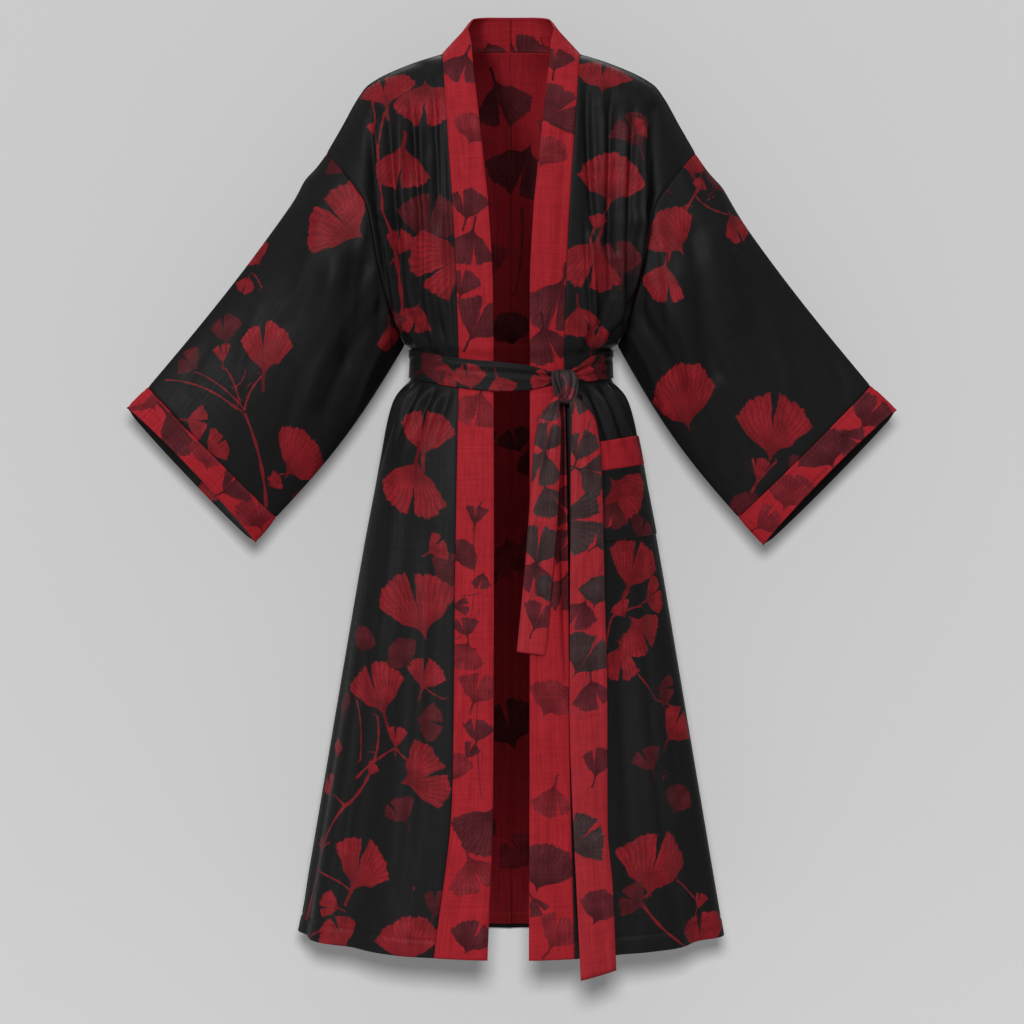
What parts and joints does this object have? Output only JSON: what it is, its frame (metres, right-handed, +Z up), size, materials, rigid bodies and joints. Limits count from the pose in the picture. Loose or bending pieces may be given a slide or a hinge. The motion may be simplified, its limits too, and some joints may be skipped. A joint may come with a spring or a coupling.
{
  "type": "kimono bathrobe",
  "caption": "Ankle-length kimono bathrobe with wide sleeves, straight front bands, contrast cuffs, a patch pocket and a tied belt, filled out as worn.",
  "frame": {"origin": "middle of the shoulder line, at the height of the sides of the neck", "axes": "+X to the wearer's left, +Y to the back, +Z up"},
  "size_m": [1.1158, 0.2876, 1.3868],
  "materials": {
    "print_cloth": "near-black slubby cloth with deep red fan leaves, red reverse",
    "reverse_cloth": "deep red slubby cloth with dark maroon leaves",
    "belt_cloth": "red and near-black cloth strip, folded and stitched"
  },
  "bodies": {
    "root": {"front_left": "print_cloth", "front_right": "print_cloth", "back_left": "print_cloth", "back_right": "print_cloth", "sleeve_left": "print_cloth", "sleeve_right": "print_cloth", "pocket": "print_cloth", "cuff_left": "reverse_cloth", "cuff_right": "reverse_cloth", "band_left": "reverse_cloth", "band_right": "reverse_cloth", "pocket_band": "reverse_cloth", "belt": "belt_cloth", "belt_knot": "belt_cloth", "belt_tail_short": "belt_cloth", "belt_tail_long": "belt_cloth"}
  },
  "joints": []
}
